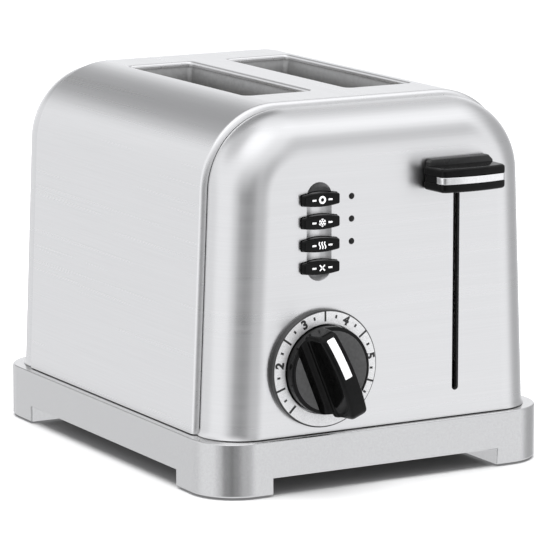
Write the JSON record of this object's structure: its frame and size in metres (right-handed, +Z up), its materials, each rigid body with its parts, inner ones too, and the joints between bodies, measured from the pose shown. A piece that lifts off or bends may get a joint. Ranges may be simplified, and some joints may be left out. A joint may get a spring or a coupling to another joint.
{
  "type": "pop-up toaster",
  "caption": "Two-slot pop-up toaster with a wrapped brushed steel body, footed silver base, side lever, push buttons and a numbered browning dial.",
  "frame": {"origin": "on the table under the middle of the whole toaster", "axes": "+X right seen from the control panel, +Y to the back, +Z up; the control panel faces -Y"},
  "size_m": [0.1956, 0.2693, 0.19],
  "materials": {
    "base_silver": "satin silver paint over a moulded base",
    "dark_steel": "plain dark steel sheet",
    "foot_rubber": "matte",
    "brushed_steel": "fine brushed stainless steel",
    "slot_steel": "satin",
    "gloss_black": "polished moulded",
    "lens_dark": "smoked lens",
    "dial_silver": "fine blasted satin",
    "bright_trim": "bright satin silver",
    "zinc_steel": "zinc plated",
    "blue_plastic": "moulded",
    "black_plastic": "moulded",
    "ivory_plastic": "moulded",
    "chrome_wire": "bright plated wire",
    "chassis_steel": "aluminised sheet",
    "mica": "pressed mica board",
    "nichrome": "oxidised ribbon",
    "copper_coil": "enamelled copper wire",
    "board_green": "solder mask",
    "wire_red": "silicone insulation"
  },
  "bodies": {
    "housing": {"base_frame": "base_silver", "bottom_plate": "dark_steel", "foot_pads": "foot_rubber", "body_wrap": "brushed_steel", "front_panel": "brushed_steel", "rear_panel": "brushed_steel", "left_slot_chute": "slot_steel", "right_slot_chute": "slot_steel", "indicator_lenses": "lens_dark", "dial_ring": "dial_silver", "browning_pot": "blue_plastic", "lever_slot_liner": "black_plastic", "guide_rod": "zinc_steel", "return_spring": "zinc_steel", "front_end_plate": "chassis_steel", "rear_end_plate": "chassis_steel", "left_reflector": "chassis_steel", "right_reflector": "chassis_steel", "left_outer_heater": "mica", "left_inner_heater": "mica", "right_inner_heater": "mica", "right_outer_heater": "mica", "left_outer_winding": "nichrome", "left_inner_winding": "nichrome", "right_inner_winding": "nichrome", "right_outer_winding": "nichrome", "magnet_core": "dark_steel", "magnet_coil": "copper_coil", "control_board": "board_green", "button_switches": "black_plastic", "board_posts": "zinc_steel", "mains_switch": "ivory_plastic", "cord_gland": "black_plastic", "inner_wiring": "wire_red", "base_screws": "zinc_steel", "chassis_screws": "zinc_steel"},
    "carriage": {"carriage_bracket": "zinc_steel", "carriage_bush": "ivory_plastic", "keeper_plate": "dark_steel", "lever_handle": "gloss_black", "lever_trim": "bright_trim", "left_bread_rack": "chrome_wire", "right_bread_rack": "chrome_wire"},
    "browning_control": {"browning_knob": "gloss_black", "knob_pointer": "bright_trim", "knob_shaft": "zinc_steel"},
    "bagel_key": {"bagel_button": "gloss_black"},
    "defrost_key": {"defrost_button": "gloss_black"},
    "reheat_key": {"reheat_button": "gloss_black"},
    "cancel_key": {"cancel_button": "gloss_black"},
    "tray": {"crumb_tray": "chassis_steel", "tray_grip": "black_plastic"},
    "left_outer_guard_frame": {"left_outer_guard": "chrome_wire"},
    "left_inner_guard_frame": {"left_inner_guard": "chrome_wire"},
    "right_inner_guard_frame": {"right_inner_guard": "chrome_wire"},
    "right_outer_guard_frame": {"right_outer_guard": "chrome_wire"}
  },
  "joints": [
    {"name": "carriage_slide", "type": "slide", "parent": "housing", "child": "carriage", "axis": [0, 0, -1], "range_m": [0, 0.098], "stiffness_N_per_m": 90, "springref_m": -0.06, "deforming": ["return_spring"]},
    {"name": "browning_turn", "type": "hinge", "parent": "housing", "child": "browning_control", "pos_m": [-0.0359, -0.10875, 0.0612], "axis": [0, 1, 0], "range_deg": [-113, 157]},
    {"name": "tray_slide", "type": "slide", "parent": "housing", "child": "tray", "axis": [0, 1, 0], "range_m": [0, 0.18]},
    {"name": "bagel_press", "type": "slide", "parent": "housing", "child": "bagel_key", "axis": [0, 1, 0], "range_m": [0, 0.0015], "stiffness_N_per_m": 400, "springref_m": -0.0008},
    {"name": "defrost_press", "type": "slide", "parent": "housing", "child": "defrost_key", "axis": [0, 1, 0], "range_m": [0, 0.0015], "stiffness_N_per_m": 400, "springref_m": -0.0008},
    {"name": "reheat_press", "type": "slide", "parent": "housing", "child": "reheat_key", "axis": [0, 1, 0], "range_m": [0, 0.0015], "stiffness_N_per_m": 400, "springref_m": -0.0008},
    {"name": "cancel_press", "type": "slide", "parent": "housing", "child": "cancel_key", "axis": [0, 1, 0], "range_m": [0, 0.0015], "stiffness_N_per_m": 400, "springref_m": -0.0008},
    {"name": "left_outer_guard_hinge", "type": "hinge", "parent": "housing", "child": "left_outer_guard_frame", "pos_m": [-0.0466, 0.00975, 0.042], "axis": [0, 1, 0], "range_deg": [0, 4]},
    {"name": "left_inner_guard_hinge", "type": "hinge", "parent": "housing", "child": "left_inner_guard_frame", "pos_m": [-0.0116, 0.00975, 0.042], "axis": [0, 1, 0], "range_deg": [-4, 0]},
    {"name": "right_inner_guard_hinge", "type": "hinge", "parent": "housing", "child": "right_inner_guard_frame", "pos_m": [0.0116, 0.00975, 0.042], "axis": [0, 1, 0], "range_deg": [0, 4]},
    {"name": "right_outer_guard_hinge", "type": "hinge", "parent": "housing", "child": "right_outer_guard_frame", "pos_m": [0.0466, 0.00975, 0.042], "axis": [0, 1, 0], "range_deg": [-4, 0]}
  ],
  "couplings": [
    {"joint": "left_outer_guard_hinge", "follows": "carriage_slide", "rad_per_m": 0.7},
    {"joint": "left_inner_guard_hinge", "follows": "carriage_slide", "rad_per_m": -0.7},
    {"joint": "right_inner_guard_hinge", "follows": "carriage_slide", "rad_per_m": 0.7},
    {"joint": "right_outer_guard_hinge", "follows": "carriage_slide", "rad_per_m": -0.7}
  ]
}
